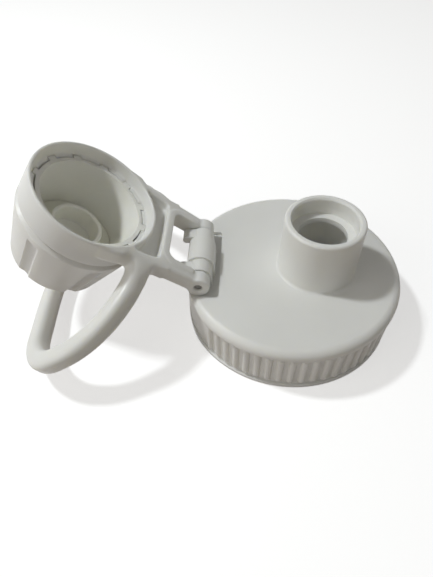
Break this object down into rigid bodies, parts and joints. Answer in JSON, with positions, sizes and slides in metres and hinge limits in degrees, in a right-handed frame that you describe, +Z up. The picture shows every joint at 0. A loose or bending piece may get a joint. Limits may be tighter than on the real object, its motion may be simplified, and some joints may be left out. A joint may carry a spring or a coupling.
{
  "type": "sport cap",
  "caption": "Flip-top sport cap: ribbed screw lid with a drinking spout, a hinged arm holding a twist-down sealing cup, and a carrying loop.",
  "frame": {"origin": "on the lid's axis at the foot of its skirt", "axes": "+Z up along the lid's axis, +X from the hinge towards the spout, the plane y = 0 splits the cap in two like halves"},
  "size_m": [0.1225, 0.0794, 0.0571],
  "materials": {
    "lid_plastic": "satin white moulded plastic",
    "arm_plastic": "satin white moulded plastic",
    "knob_plastic": "satin white moulded plastic",
    "cup_plastic": "satin milky white moulded plastic",
    "soft_seal": "milky silicone",
    "pin_steel": "plain steel"
  },
  "bodies": {
    "lid": {"lid_body": "lid_plastic", "lid_gasket": "soft_seal", "hinge_pin": "pin_steel"},
    "arm": {"flip_arm": "arm_plastic"},
    "knob": {"twist_knob": "knob_plastic"},
    "cup": {"inner_cup": "cup_plastic", "spout_seal": "soft_seal"}
  },
  "joints": [
    {"name": "arm_hinge", "type": "hinge", "parent": "lid", "child": "arm", "pos_m": [-0.029, 0, 0.0215], "axis": [0, 1, 0], "range_deg": [0, 143]},
    {"name": "knob_turn", "type": "hinge", "parent": "arm", "child": "knob", "pos_m": [-0.0587, 0, 0.0439], "axis": [0.6018, 0, 0.7986], "range_deg": [0, 90]},
    {"name": "cup_slide", "type": "slide", "parent": "arm", "child": "cup", "axis": [0.6018, 0, 0.7986], "range_m": [0, 0.0015]}
  ],
  "couplings": [
    {"joint": "cup_slide", "follows": "knob_turn", "m_per_rad": 0.00095493}
  ]
}
